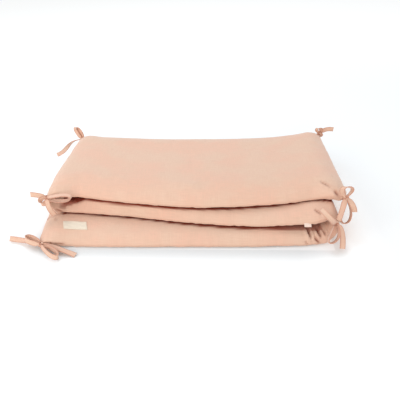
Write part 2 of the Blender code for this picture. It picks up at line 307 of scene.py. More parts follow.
def node(kind, inputs=(), tree=None, **settings):
    """A new node, in the tree that its inputs come from where none is given."""
    inputs = dict(inputs)
    if tree is None:
        tree = next(value.id_data for value in inputs.values() if isinstance(value, bpy.types.NodeSocket))
    made = tree.nodes.new("ShaderNode" + kind)
    for key, value in settings.items():
        setattr(made, key, value)
    return fill(made, inputs)


def source(shader, kind, output, **settings):
    """An output of a new node that has no inputs."""
    return node(kind, tree=shader.id_data, **settings).outputs[output]


def maths(operation, *values):
    return node("Math", enumerate(values), operation=operation).outputs[0]


def new_material(name, roughness, sheen=0.0, specular=0.1):
    """A material and its shader."""
    material = bpy.data.materials.new(name)
    material.use_nodes = True
    shader = material.node_tree.nodes["Principled BSDF"]
    return material, fill(shader, {"Roughness": roughness, "Specular IOR Level": specular,
                                   "Sheen Weight": sheen, "Sheen Roughness": 0.45})


def cloth_place(shader):
    """Places along and across the cloth, in metres."""
    return source(shader, "UVMap", 0, uv_map="cloth")


def noise(place, sizes, detail=2.0):
    """Noise from 0 to 1, its grains so many metres along and across."""
    scaled = node("Mapping", {"Vector": place, "Scale": (1 / sizes[0], 1 / sizes[1], 1)})
    return node("TexNoise", {"Vector": scaled.outputs[0], "Scale": 1.0, "Detail": detail},
                noise_dimensions="2D").outputs[0]


def plain_weave(place, thread):
    """The threads' ups and downs from -1 to 1, one thread every so many metres."""
    axes = node("SeparateXYZ", {0: place}).outputs[:2]
    return maths("MULTIPLY", *(maths("SINE", maths("MULTIPLY", axis, math.pi / thread)) for axis in axes))


def weighted(*pairs):
    """The sum of some values, each times its weight."""
    total = 0.0
    for value, weight in pairs:
        total = maths("MULTIPLY_ADD", value, weight, total)
    return total


def blended(share, low, high):
    """A colour between two: the low one where the share is 0."""
    return node("Mix", {0: share, 6: low, 7: high}, data_type="RGBA").outputs[2]


def stepped(value, start, end):
    """0 where the value is below start, 1 past end, and smooth between."""
    return node("MapRange", {"Value": value, "From Min": start, "From Max": end},
                interpolation_type="SMOOTHSTEP").outputs[0]


def finish_cloth(shader, colour, height):
    """Gives the shader its colour and, from a height in metres, its bumps."""
    bump = node("Bump", {"Height": height, "Strength": 1.0, "Distance": 1.0})
    fill(shader, {"Base Color": colour, "Normal": bump.outputs[0]})


COTTON = (0.738, 0.486, 0.362, 1)
COTTON_ROSE = (0.754, 0.466, 0.347, 1)  # where the dye is a little pinker
COTTON_SAND = (0.722, 0.506, 0.380, 1)  # where it is a little sandier
PAINTED_SHADE_COLOUR = (0.24, 0.040, 0.020, 1)  # painted shade for the seams and between the layers, where light hardly comes
HEM_PAINTED_SHADE = (0.58, 0.29, 0.20, 1)  # painted shade along the straps' folded edges, where the hems' folds catch shadow
SHEEN = 0.32
THREAD = 0.00062  # from one thread to the next
STRAP_STITCHES = (0.0042, 0.0026)  # how far off the strap's middle they run, and from one to the next


def washed_cotton(name, stitched=False):
    """Plain-woven cotton, softened and slightly crumpled by washing."""
    material, shader = new_material(name, roughness=0.88, sheen=SHEEN)
    place = cloth_place(shader)
    weave = plain_weave(place, THREAD)
    warp = noise(place, (0.030, 0.0011))
    weft = noise(place, (0.0011, 0.030))
    slubs = noise(place, (0.012, 0.0016), detail=1.0)
    crumple = noise(place, (0.011, 0.007), detail=4.0)
    dye = noise(place, (0.10, 0.07), detail=3.0)
    colour = blended(stepped(dye, 0.35, 0.65), COTTON_SAND, COTTON_ROSE)
    threads = weighted((warp, 0.5), (weft, 0.5))
    colour = blended(stepped(threads, 0.30, 0.70), [0.93 * c for c in COTTON[:3]] + [1], colour)
    height = weighted((weave, 0.00003), (warp, 0.00012), (weft, 0.00012), (slubs, 0.00010),
                      (crumple, 0.00055))
    if stitched:
        # One line of stitches along each long edge of the strap.
        off_middle, apart = STRAP_STITCHES
        along, across, _ = node("SeparateXYZ", {0: place}).outputs
        from_middle = maths("ABSOLUTE", across)
        from_line = maths("ABSOLUTE", maths("SUBTRACT", from_middle, off_middle))
        line = maths("SUBTRACT", 1.0, stepped(from_line, 0.0002, 0.0005))
        # Painted shade along the strap's hemmed edges.
        painted_hem_shade = maths("MULTIPLY", stepped(from_middle, 0.0032, 0.0060), 0.85)
        colour = blended(painted_hem_shade, colour, HEM_PAINTED_SHADE)
        waves = maths("SINE", maths("MULTIPLY", along, math.tau / apart))
        sunk = maths("MULTIPLY", line, stepped(waves, -0.5, 0.0))
        height = weighted((height, 1.0), (line, -0.00022), (sunk, 0.00016))
    else:
        # Painted shade: between the layers the cloth is darkened almost to the painted shade colour, and its
        # sheen is lowered there, where light hardly reaches.
        seam, tucked = (source(shader, "Attribute", "Fac", attribute_name=key) for key in ("seam", "tucked"))
        # Painted shade in the seams' grooves: the seam lines are darkened a little towards the painted shade
        # colour.
        near = maths("SUBTRACT", 1.0, stepped(seam, 0.0003, 0.0016))
        colour = blended(maths("MULTIPLY", near, 0.10), colour, PAINTED_SHADE_COLOUR)
        colour = blended(maths("MULTIPLY", tucked, 0.97), colour, PAINTED_SHADE_COLOUR)
        fill(shader, {"Sheen Weight": maths("MULTIPLY_ADD", tucked, -SHEEN, SHEEN)})
    finish_cloth(shader, colour, height)
    return material


def tape_cloth(name, colour, thread, ribs):
    """Closely woven tape, with ribs across it."""
    material, shader = new_material(name, roughness=0.8, sheen=0.08)
    place = cloth_place(shader)
    weave = plain_weave(place, thread)
    warp = noise(place, (0.012, 0.0008))
    soil = noise(place, (0.018, 0.012), detail=3.0)
    shade = weighted((warp, 0.5), (soil, 0.5))
    darker = [0.90 * c for c in colour[:3]] + [1]
    height = weighted((weave, ribs), (warp, 0.00012), (soil, 0.0002))
    finish_cloth(shader, blended(stepped(shade, 0.3, 0.7), darker, colour), height)
    return material


PAD_CLOTH = washed_cotton("washed_cotton_cover")
STRAP_CLOTH = washed_cotton("washed_cotton_straps", stitched=True)
LABEL_CLOTH = tape_cloth("woven_label", (0.80, 0.705, 0.575, 1), 0.0004, 0.00003)
TAB_CLOTH = tape_cloth("folded_tape", (0.83, 0.66, 0.57, 1), 0.0005, 0.00004)
SEWING_THREAD = tape_cloth("sewing_thread", (0.80, 0.68, 0.54, 1), 0.0003, 0.00002)


# ------ the pad

PAD_ROWS = 740
HALF_COLUMNS = 31  # from a long seam to the strip's middle line, closer together at the seam
COLUMN_GRADING = 1.7
END_ROWS = (0.0, 0.0008, 0.0018, 0.0032, 0.0050, 0.0075, 0.0105)

SEAM_GROOVE = (0.0004, 0.0012)  # depth and half width
SEAM_RIDGE = (0.00015, 0.0045, 0.0025)  # height, distance from the seam and half width
PUCKER = (0.0010, 0.011, 0.0095, 0.03)  # depth, how far in it reaches, length along the seam and width
PUCKER_AT_TIES = 1.6  # how much deeper at a turn's ties
UNEVEN = ((0.0012, 0.17, 0.09), (0.0006, 0.065, 0.04), (0.00022, 0.020, 0.013))  # height, along, across
UNEVEN_FROM = 0.03  # how far in from the seam and the ends the cloth is fully uneven
ROLL_LINES = (0.0008, 0.022, 0.013, 0.115, 0.0046)  # height, middle, reach, length, apart
ROLL_DRIFT = (0.6, 0.15)  # how far they stray, as a share of apart, and over what length
IN_THE_GAP = (0.003, 0.0006)  # the most that a face stands out towards another, at its lip and inside
INSIDE_GAP = (0.01, 0.03)  # from the lip to where the inside starts, and to where it is full

CREASES = (
    # start, end, depth, half width, raised beside it, how much painted shade; millimetres
    # the left end's front corner, drawn into its tie
    ((-337, -207, 9), (-321, -206, 13), 3, 2, 0.4, 0.8),
    ((-321, -206, 13), (-315, -206, 10), 3, 2, 0.4, 0.8),
    ((-316, -206, 10), (-284, -206, 10), 2.6, 1.7, 0.3, 0.7),
    # the right fold's gathers on the lowest layer
    ((251, -160, 30), (258, -196, 18), 8, 2.4, 0.8, 1),
    ((270, -160, 30), (280, -189, 19), 8, 2.5, 0.8, 1),
    ((264, -185, 19), (277, -198, 7), 4.5, 2, 0.6, 0.9),
    ((243, -196, 16), (249, -203, 10), 2.4, 1.6, 0.6, 0.6),
    ((256, -196, 16), (261, -200, 8), 2.4, 1.6, 0.6, 0.6),
    ((285, -168, 27), (291, -182, 19), 4, 2.2, 0.6, 0.5),
    # the left fold's mouth, and the facet beside it, both given painted shade
    ((-280, -118, 75), (-290, -124, 56), 6, 3.2, 0.6, 1),
    ((-325, -128, 51), (-296, -128, 34), 4.5, 2.2, 0.5, 0.9),
    ((-314, -125, 63), (-298, -125, 56), 4, 9, 0.2, 0.6),
    # the top layer's right front corner, drawn into its tie
    ((285, -87, 103), (309, -120, 102), 3.6, 2, 0.6, 0.6),
    ((312, -118, 100), (321, -143, 92), 7, 4.4, 0.5, 0.95),
    ((316, -68, 102), (318, -76, 102), 1.4, 1.6, 0.4, 0.5),
    # the middle layer's right end, under its tie's strap
    ((266, -145, 65), (283, -155, 57), 3.4, 2, 0.5, 0.7),
    ((282, -155, 57), (294, -160, 46), 4.2, 2.2, 0.5, 0.8),
    # the lowest layer, below the left fold's tail
    ((-331, -130, 30), (-317, -148, 30), 2.2, 1.8, 0.4, 0.3),
)
CREASE_NEAR = 0.014  # a crease marks cloth this far above or below its line, and fades beyond
CREASE_TURNED = 0.4  # and fades where the cloth is turned from the camera, from this cosine down
CREASE_RIDGE = 2.1  # how many half widths out the raised cloth beside it lies
CREASE_SHADED = 0.8  # how many half widths its painted shade reaches


class Pad:
    """A grid over both faces of the cover: rows along the strip, and columns from the front seam to the
    back one. Face 0 is the inner one of the folds, and face 1 the outer."""

    def __init__(self):
        middle = np.linspace(END_ROWS[-1], strip.length - END_ROWS[-1], PAD_ROWS)
        self.rows = np.concatenate([END_ROWS[:-1], middle, strip.length - np.array(END_ROWS[-2::-1])])
        half = (np.arange(HALF_COLUMNS + 1) / HALF_COLUMNS) ** COLUMN_GRADING / 2
        share = np.concatenate([half, 1 - half[-2::-1]])
        width = np.linalg.norm(strip.middle(self.rows, 1) - strip.middle(self.rows, 0), axis=-1)
        self.along, share = np.meshgrid(self.rows, share, indexing="ij")
        self.across = share * width[:, None]
        self.from_edge = np.minimum(share, 1 - share) * width[:, None]
        self.edge = np.where(share < 0.5, -1, 1)
        self.to_end = np.minimum(self.along, strip.length - self.along)
        self.from_seam = np.minimum(self.from_edge, self.to_end)

    @staticmethod
    def numbers(rows, columns):
        """A grid of point numbers for each face. The two share their rim."""
        inner = np.arange(rows * columns).reshape(rows, columns)
        outer = inner.copy()
        outer[1:-1, 1:-1] = rows * columns + np.arange((rows - 2) * (columns - 2)).reshape(rows - 2, -1)
        return inner, outer

    @staticmethod
    def faces(inner, outer):
        return np.concatenate([grid_quads(inner), grid_quads(outer)[:, ::-1]])

    @staticmethod
    def gathered(values):
        """One list from a grid of each face, in the order of the points' numbers."""
        inner, outer = values
        return np.concatenate([inner.reshape(-1, *inner.shape[2:]),
                               outer[1:-1, 1:-1].reshape(-1, *inner.shape[2:])])


def creased(points, normals):
    """How far the creases press each point in (or raise it), and how much painted shade they give it. Each
    lies on the cloth where the photograph's camera sees it."""
    total, shaded = np.zeros(len(points)), np.zeros(len(points))
    for start, end, depth, half_width, raised, shade in CREASES:
        start, end = np.array(start) * MM, np.array(end) * MM
        run = end - start
        toward = unit(np.array(CAMERA_PLACE) - start)
        share = np.clip((points - start) @ run / (run @ run), 0, 1)
        off = points - start - share[:, None] * run
        above = off @ toward
        away = np.linalg.norm(off - above[:, None] * toward, axis=1) / (half_width * MM)
        facing = smooth(normals @ toward / CREASE_TURNED) * smooth(2 - np.abs(above) / CREASE_NEAR)
        fade = 1 - np.abs(2 * share - 1) ** 3
        profile = np.exp(-away ** 2) - raised * np.exp(-(away - CREASE_RIDGE) ** 2)
        total += facing * fade * depth * MM * profile
        shaded = np.maximum(shaded, facing * fade * shade * np.exp(-(away / CREASE_SHADED) ** 2))
    return total, shaded


def surface_detail(pad, side, points, normals, puffed):
    """How far each point of a face stands out from the plain cover, and how much painted shade its creases
    give it.
    """
    along, from_edge, to_end, seam = pad.along, pad.from_edge, pad.to_end, pad.from_seam
    out = -SEAM_GROOVE[0] * np.exp(-(seam / SEAM_GROOVE[1]) ** 2)
    height, distance, half_width = SEAM_RIDGE
    out += height * np.exp(-((seam - distance) / half_width) ** 2)
    at_ties = strip.near_turns(along, [1, 1])
    depth, reach, length, width = PUCKER
    # Each seam of each face has its own line of the random table.
    for place, line, gap in ((along, 0.5 + side + 4.0 * pad.edge, from_edge),
                             (pad.across, 20.5 + side, to_end)):
        gathers = wander(place / length, line + gap / width, 11)
        out += depth * (1 + PUCKER_AT_TIES * at_ties) * gathers * np.exp(-gap / reach)
    for number, (height, long, wide) in enumerate(UNEVEN):
        bumps = wander(along / long + 7.3 * side, pad.across / wide, 21 + number)
        out += smooth(seam / UNEVEN_FROM) * height * bumps
    height, middle, reach, long, apart = ROLL_LINES
    drift = ROLL_DRIFT[0] * wander(along / ROLL_DRIFT[1], 0.0, 31)
    lines = wander(along / long + 3.1 * side, from_edge / apart + drift, 32)
    out += height * lines * np.exp(-((from_edge - middle) / reach) ** 2) * smooth(to_end / UNEVEN_FROM)
    pressed, shaded = (values.reshape(out.shape) for values in creased(points.reshape(-1, 3),
                                                                      normals.reshape(-1, 3)))
    out += puffed - pressed
    covered = (along > strip.starts[2]) if side < 0 else (along < strip.starts[3])
    most = mix(*IN_THE_GAP, ramp(from_edge, *INSIDE_GAP))
    return np.where(covered, np.minimum(out, most), out), shaded


def blurred(grid, times):
    """A grid of values, softened by averaging neighbours so many times."""
    for _ in range(times):
        padded = np.pad(grid, 1, mode="edge")
        grid = (2 * padded[1:-1, 1:-1] + padded[:-2, 1:-1] + padded[2:, 1:-1]
                + 1.5 * (padded[1:-1, :-2] + padded[1:-1, 2:])) / 7
    return grid


MOUTHS = ((0.15, 0.25), (-0.25, -0.30))  # where the layers start to part at each fold, and have
MOUTH_SHADE = (0.75, 1.0)  # how much of the painted shade the lower layer has in the mouths
SIGHT = (0.004, 0.040)  # how far behind a point, and how far on, another layer is looked for
CONTACT_GAP = 0.0020  # what is left between a layer and the one on it
CONTACT_MOST = 0.016  # the farthest that the lower layer swells up
CONTACT_PRESSED = 0.002  # and the farthest that it is pressed down
CONTACT_FROM = (0.001, 0.009)  # from its seam to where it starts to move, and fully does
CONTACT_BLUR = 5  # how often the movement is averaged
SWELL_FRONT = 0.030  # how far in front of a lip the lower layer swells
TURN_SETTLED = 0.030  # how far back round the turn before it the middle layer settles
TURN_FADE = 0.014  # and how much of that it takes to come to it
LIP_NEAR = 0.004  # cloth this near the lip gets painted shade even with nothing right above it
TUCK_START = (-0.0010, 0.0015)  # behind each gap's lip, to where the cloth's painted shade starts
TUCK_REACH = 0.0035  # and on from there to the full painted shade
TUCK_UNDER = (0.004, 0.011)  # the same on the upper layer's underside
TUCK_CLOSE = (0.032, 0.013)  # how far apart two layers are where the painted shade between them starts, and is full


def gaps_between(points, other, way):
    """How far another layer is above (1) or below (-1) each point, or nan."""
    grid = np.arange(other[..., 0].size).reshape(other.shape[:2])
    tree = BVHTree.FromPolygons(other.reshape(-1, 3).tolist(), grid_quads(grid).tolist())
    heading = Vector((0, 0, way))
    before, reach = SIGHT
    found = [tree.ray_cast(Vector(point) - heading * before, heading, reach)[3]
             for point in points.reshape(-1, 3)]
    return np.array([np.nan if hit is None else hit - before for hit in found]).reshape(points.shape[:2])


def carried_forward(gaps, y):
    """The gaps, carried on a little way in front of the lip above, where nothing lies over the cloth."""
    covered = ~np.isnan(gaps)
    gaps = np.where(covered, gaps, 0)
    rows = np.arange(len(gaps))
    first = np.argmax(covered, axis=1)
    inside = np.minimum(first + 2, gaps.shape[1] - 1)
    in_front = y[rows, first][:, None] - y
    carried = gaps[rows, inside][:, None] * (1 - smooth(in_front / SWELL_FRONT))
    at_front = (np.arange(gaps.shape[1])[None] < inside[:, None]) & covered.any(axis=1)[:, None]
    return np.where(at_front, carried, gaps)


def shade_between(gaps):
    """How much painted shade lies between two layers so far apart, from 0 to 1, and 0 where there is only
    one.
    """
    return blurred(ramp(np.where(np.isnan(gaps), 1.0, gaps), *TUCK_CLOSE), 2)


def settle(pad, covers):
    """Closes the gap between each layer and the one on it: the lower swells up to meet the other's lip,
    but not in the mouth of the fold that joins them. Gives the painted shade on each point of each face,
    from 0 to 1, by how deeply it lies between layers."""
    tucked = np.zeros((2, *pad.along.shape))
    starts = np.searchsorted(pad.rows, strip.starts)[::2]
    ends = np.searchsorted(pad.rows, np.append(strip.starts[1:], strip.length) + 1e-9)[::2]
    for face, (lower, upper) in enumerate(((0, 1), (1, 2))):
        grid = covers[face]
        first = max(0, np.searchsorted(pad.rows, strip.starts[2 * lower] - TURN_SETTLED))
        below, above = slice(first, ends[lower]), slice(starts[upper], ends[upper])
        x, y = grid[below][..., 0], grid[below][..., 1]
        away_from_mouth = 1 - ramp(x, *MOUTHS[lower])
        gaps = gaps_between(grid[below], grid[above], 1)
        move = np.clip(carried_forward(gaps - CONTACT_GAP, y), -CONTACT_PRESSED, CONTACT_MOST)
        fade = ramp(pad.from_edge[below], *CONTACT_FROM) * away_from_mouth
        if first > 0:
            fade = fade * smooth((pad.along[below] - pad.rows[first]) / TURN_FADE)
        move = fade * blurred(move * fade, CONTACT_BLUR)
        lip = grid[above][np.argsort(grid[above][:, 0, 0])]
        behind = np.minimum(y - np.interp(x, lip[:, 0, 0], lip[:, 0, 1]),
                            np.interp(x, lip[:, 0, 0], lip[:, -1, 1]) - y)
        left = np.where(np.isnan(gaps) & (np.abs(behind) < LIP_NEAR), 0.0, gaps - move)
        # Painted shade on the lower layer behind the other's lip, and on the upper layer's underside.
        shade = shade_between(left) * mix(MOUTH_SHADE[lower], 1, away_from_mouth)
        tucked[face][below] = shade * smooth((behind - TUCK_START[lower]) / TUCK_REACH)
        underside = shade_between(gaps_between(grid[above], grid[below], -1))
        tucked[face][above] = underside * ramp(pad.from_edge[above], *TUCK_UNDER)
        grid[below, :, 2] += move
    return tucked


PUFF_STEP = (3, 2)  # the simulated cover has every third row and second column of the pad's
PUFF_FRAMES = 20  # how long the filling presses
PUFF_CLOTH = {
    "quality": 5, "mass": 0.3, "tension_stiffness": 12, "compression_stiffness": 12, "shear_stiffness": 4,
    "bending_stiffness": 0.3, "shrink_min": -0.016, "use_pressure": True, "uniform_pressure_force": 4,
}
PUFF_MOST = 0.0018  # the farthest that the filling moves the cover
PUFF_BROAD = 40  # how often the movement is averaged to find its broad swell, which is taken out
PUFF_FROM = 0.004  # from the seam in to where the cover moves freely
PUFF_INSIDE, PUFF_BESIDE = 0.15, (0.045, 0.085)  # how much is left well inside the seams, and from where


def puffed_out(pad, covers):
    """How far each point of each face moves when the filling presses on the cover between its seams: a
    cloth simulation with pressure, on a coarser cover held at its seams."""
    rows, columns = (np.unique(np.append(np.arange(0, size, step), size - 1))
                     for size, step in zip(pad.along.shape, PUFF_STEP))
    points = pad.gathered([points[np.ix_(rows, columns)] for points in covers])
    numbers = pad.numbers(len(rows), len(columns))
    cover = mesh_object("puffed_cover", points, pad.faces(*numbers), PAD_CLOTH, points[:, :2])
    seams = cover.vertex_groups.new(name="seams")
    seams.add(rim_of(numbers[0]).tolist(), 1.0, "REPLACE")
    cloth = cover.modifiers.new("filling", "CLOTH")
    for key, value in PUFF_CLOTH.items():
        setattr(cloth.settings, key, value)
    cloth.settings.vertex_group_mass = "seams"
    cloth.settings.effector_weights.gravity = 0
    cloth.collision_settings.use_collision = False
    cloth.point_cache.frame_start, cloth.point_cache.frame_end = 1, PUFF_FRAMES
    for frame_number in range(1, PUFF_FRAMES + 1):
        scene.frame_set(frame_number)
    after, normals = np.zeros(len(points) * 3), np.zeros(len(points) * 3)
    cover.evaluated_get(bpy.context.evaluated_depsgraph_get()).data.vertices.foreach_get("co", after)
    cover.data.vertices.foreach_get("normal", normals)
    moved = np.sum((after.reshape(-1, 3) - points) * normals.reshape(-1, 3), axis=1)
    scene.frame_set(1)
    bpy.data.objects.remove(cover)
    share = smooth(pad.from_seam / PUFF_FROM) * mix(1, PUFF_INSIDE, ramp(pad.from_seam, *PUFF_BESIDE))
    all_rows, all_columns = (np.arange(size) for size in pad.along.shape)
    faces = []
    for face in numbers:
        wrinkles = moved[face] - blurred(moved[face], PUFF_BROAD)
        wrinkles = PUFF_MOST * np.tanh(wrinkles / PUFF_MOST)
        along = np.stack([np.interp(all_rows, rows, column) for column in wrinkles.T], axis=-1)
        faces.append(blurred(np.stack([np.interp(all_columns, columns, row) for row in along]), 2) * share)
    return faces


def build_pad():
    pad = Pad()
    covers = [strip.cover(pad.along, pad.from_edge, pad.edge, side) for side in (1, -1)]
    tucked = settle(pad, [points for points, _ in covers])
    puffed = puffed_out(pad, [points for points, _ in covers])
    grids = []
    for face, side in enumerate((1, -1)):
        points, outward = covers[face]
        normals = unit(np.cross(np.gradient(points, axis=0), np.gradient(points, axis=1))) * side
        normals[0], normals[-1] = outward[0], outward[-1]
        stands_out, shaded = surface_detail(pad, side, points, normals, puffed[face])
        # The creases' painted shade joins the painted shade between the layers.
        tucked[face] = np.maximum(tucked[face], shaded)
        grids.append(points + normals * stands_out[..., None])
    numbers = pad.numbers(*pad.along.shape)
    points, rim = pad.gathered(grids), rim_of(numbers[0])
    points[rim] = (points[rim] + rim_of(grids[1])) / 2
    points[:, 2] = np.maximum(points[:, 2], 0)
    uv = pad.gathered([np.stack([pad.along, pad.across], axis=-1)] * 2)
    return mesh_object("bumper", points, pad.faces(*numbers), PAD_CLOTH, uv,
                       seam=pad.gathered([pad.from_seam] * 2), tucked=pad.gathered(tucked))


# ------ the ties

STRAP_WIDTH = 0.012
STRAP_THICKNESS = 0.0018
STRAP_PINCH = 0.45  # how narrow a strap is drawn where it leaves its knot
PINCH_LENGTH = 0.013
RUNS_APART = 0.0036
KNOT_REACH = 0.0052
KNOT_STRAP = (0.0062, 0.0019)  # width and thickness, drawn tight
KNOT_CLOTH = 0.040  # the strap that a knot takes up
SECTIONS = {"loop": 34, "tail": 22, "knot": 54}
STRAP_SWAY = (0.018, 0.05)  # over what length a strap's width wanders, and by what share
STRAP_TWIST = (0.030, 0.22)  # and its twist, to either side of its way across
STRAP_CAMBER = (0.0004, 0.0011)  # how high it is arched, and by how much more where it sways
STRAP_PLEAT = 0.0007  # how high it is pleated where it leaves its knot
PINCHED_THICKER = 1.25
KNOT_CAMBER = 0.0006
STRAP_PROFILE = (
    # place across, from the middle to an edge, and height: the hems' folded edges stand a little proud
    (0.0, 0.80), (0.25, 0.82), (0.5, 0.88), (0.66, 0.86), (0.80, 1.12), (0.92, 1.05), (0.985, 0.62),
)
TIES = {
    # where the knot lies from the seam, then its strands: (kind, reach, swell, bend, across), and for a
    # strand that twists the way across at its far end; millimetres
    "low_end_front": ((0, -6.2, -3), (
        ("tail", (-82, 26, -5), (0, 0, 0), (0, 3, -1), (-0.3, 0.9, -0.3), (0.17, 0.68, 0.72)),
        ("loop", (-38, 15, 7), (2.5, 5.5, 0), (0, 0, 0), (0.2, 0.4, 0.9)),
        ("loop", (48, -37, -4), (3.6, 5.4, 0), (0, 0, 1), (0.15, 0.3, 0.94)),
        ("tail", (82, -24, -10), (0, 0, 0), (0, 1, 3), (0.25, 0.95, 0.2)))),
    "low_end_back": ((0, 6.2, -3), (
        ("tail", (22, 72, -10), (0, 0, 0), (5, 0, 3), (0.95, -0.2, 0.2)),
        ("loop", (44, 20, -4), (-3, 8, 3), (0, 0, 2), (-0.2, 0.3, 0.9)),
        ("loop", (2, 38, -4), (7, -2, 3), (0, 0, 2), (0.3, 0.2, 0.9)),
        ("tail", (70, 34, -10), (0, 0, 0), (0, -5, 3), (-0.3, 0.95, 0.1)))),
    "right_fold_front": ((1.2, -7.2, -1), (
        ("tail", (-36, -2, 39), (0, 0, 0), (-2, -20, 9), (0.75, 0.3, 0.6)),
        ("loop", (-14.5, -38, -23), (9.2, 1, 1), (0, -8, 4), (0.05, -0.84, 0.53)),
        ("tail", (9.5, -44, -34), (0, 0, 0), (5, 2, 10), (1.0, 0.3, 0.1)))),
    "right_fold_back": ((0, 6.5, 0), (
        ("loop", (-14, 24, -28), (9, 1, 2), (0, 0, 0), (0.3, 0.9, 0.4)),
        ("loop", (14, 26, -24), (8, 0, 3), (0, 0, 4), (-0.3, 0.9, 0.5)),
        ("tail", (-38, 44, -33), (0, 0, 0), (0, 4, 8), (0.7, 0.6, 0.2)),
        ("tail", (20, 54, -33), (0, 0, 0), (4, 2, 8), (1.0, -0.3, 0.1)))),
    "left_fold_front": ((-3.4, -4.8, 2), (
        ("tail", (-39, 5, 6), (0, 0, 0), (0, 0, 2), (0.1, 0.4, 1.0)),
        ("loop", (-13, -9, -7), (-3, 2, 4), (0, 0, 0), (-0.45, -0.1, 0.85)),
        ("loop", (64, -20, 15), (-1, 2, 5.5), (0, -3, 0), (0.15, 0.98, 0.15)),
        ("tail", (17, -20, -34), (0, 0, 0), (-1, -9, 6), (0.95, 0.2, 0.3)))),
    "left_fold_back": ((-7.6, 3.5, 0), (
        ("loop", (-13, 1, 36), (4.8, 1, -1), (0, 0, 0), (0.95, -0.2, 0.2)),
        ("tail", (-101, 35, -67), (-1.4, 0, 5), (-4, 0, 5), (-0.2, 0.9, -0.4), (0.46, -0.24, -0.85)),
        ("loop", (14, 20, -34), (7, 2, 2), (0, 4, 0), (0.2, 0.9, 0.2)),
        ("tail", (4, 26, -62), (2, 0, 0), (0, 7, 4), (0.9, 0.1, 0.1)))),
    "top_end_front": ((2.5, -6.0, -2.0), (
        ("loop", (-2, -6, 30), (10, 1, 0), (0, 0, 0), (0.0, -0.85, 0.5), (0.85, -0.4, 0.3)),
        ("tail", (-17, -32, -40), (0, 0, 0), (0, -3, 2), (0.9, -0.2, -0.2)),
        ("loop", (3, -12, -63), (-11, 0, 2), (3, 0, 0), (0.05, -0.85, 0.5)),
        ("tail", (21, -12, -31), (0, 0, 0), (3, -2, 3), (0.6, 0.75, 0.1), (0.85, -0.3, 0.45)))),
    "top_end_back": ((11.4, -4.6, 1.6), (
        ("loop", (-4, -6, 16), (5.0, 0, 1), (0, 0, 0), (0.6, -0.6, 0.5)),
        ("loop", (-3, -11, -8), (6.0, 0, 2), (0, 0, 0), (0.7, -0.4, 0.55)),
        ("tail", (38, 0, 11), (0, 0, 0), (-2, 0, 5), (0.1, 0.4, 1.0)),
        ("tail", (-4, 36, -58), (0, 0, 0), (6, 7, 4), (0.9, 0.1, 0.1)))),
}


# A strap's section: places across and heights, from -1 to 1, in order round it.
STRAP_TOP = tuple((-place, height) for place, height in STRAP_PROFILE[:0:-1]) + STRAP_PROFILE
RING = np.array(STRAP_TOP + tuple((place, -height) for place, height in reversed(STRAP_TOP)))


def ribbon(path, run, heading, across, spread, rise):
    """A strap's rings along a path, and their places on its cloth. spread and rise have how far across
    and how far off its middle each point of a ring lies."""
    rings = (path[:, None] + across[:, None] * spread[..., None]
             + np.cross(heading, across)[:, None] * rise[..., None])
    return rings, np.stack(np.broadcast_arrays(run[:, None], RING[:, 0] * STRAP_WIDTH / 2), axis=-1)


def strand_path(kind, reach, swell, bend, count):
    """A strand from the middle of its knot: a tail runs out along reach, and a loop out and back."""
    reach, swell, bend = (np.array(value, float) * MM for value in (reach, swell, bend))
    share = np.linspace(0, 1, count)[:, None]
    if kind == "tail":
        return reach * share + swell * np.sin(math.tau * share) + bend * 4 * share * (1 - share)
    out = np.sin(math.pi * share)
    apart = unit(swell) * (1 - 2 * share) * RUNS_APART / 2
    return reach * out + swell * np.sin(math.tau * share) + bend * 4 * out * (1 - out) + apart


def add_strand(shells, centre, strand, seed):
    kind, reach, swell, bend, start_across = strand[:5]
    count, end_across = SECTIONS[kind], strand[-1]
    path = centre + strand_path(kind, reach, swell, bend, count)
    run = np.concatenate([[0], np.cumsum(np.linalg.norm(np.diff(path, axis=0), axis=1))])
    opened = smooth((np.minimum(run, run[-1] - run) if kind == "loop" else run) / PINCH_LENGTH)[:, None]
    sway, twist = (depth * wander(run / length, line, seed)[:, None]
                   for (length, depth), line in ((STRAP_SWAY, 0.5), (STRAP_TWIST, 7.5)))
    share = smooth(np.linspace(0, 1, count))[:, None]
    guide = mix(np.array(start_across, float), np.array(end_across, float), share)
    heading = unit(np.gradient(path, axis=0))
    guide = unit(guide - heading * np.sum(guide * heading, axis=1)[:, None])
    across = unit(guide + np.cross(heading, guide) * twist)
    place, height = RING.T
    spread = place * STRAP_WIDTH / 2 * mix(STRAP_PINCH, 1 + sway, opened)
    camber = STRAP_CAMBER[0] + STRAP_CAMBER[1] * sway / STRAP_SWAY[1] * opened
    rise = (height * STRAP_THICKNESS / 2 * mix(PINCHED_THICKER, 1, opened) + camber * (0.4 - place ** 2)
            + STRAP_PLEAT * (1 - opened) * np.cos(place * 3 * math.pi))
    rings, uv = ribbon(path, 0.1 * seed + run, heading, across, spread, rise)
    rings[..., 2] = np.maximum(rings[..., 2], 0)
    shells.add(rings, uv)
    return float(run[-1])


def add_knot(shells, centre, toward):
    """A strap drawn tight through itself, seen from the side that toward looks to."""
    turn = np.linspace(0, math.tau, SECTIONS["knot"], endpoint=False)
    flat = np.stack([np.sin(turn) + 2 * np.sin(2 * turn), np.cos(turn) - 2 * np.cos(2 * turn),
                     -1.5 * np.sin(3 * turn)], axis=-1) / 3 * KNOT_REACH
    up = unit(np.array(toward, float))
    right = unit(np.cross((0.3, 0.2, 1.0), up))
    local = flat[:, :1] * right + flat[:, 1:2] * np.cross(up, right) + flat[:, 2:] * up
    heading = unit(np.roll(local, -1, axis=0) - np.roll(local, 1, axis=0))
    across = unit(np.cross(heading, unit(local)))
    (width, thickness), (place, height) = KNOT_STRAP, RING.T
    rise = thickness / 2 * height - KNOT_CAMBER * place ** 2
    rings, uv = ribbon(centre + local, turn * KNOT_REACH, heading, across, place * width / 2, rise)
    shells.add(rings, uv, closed=True)


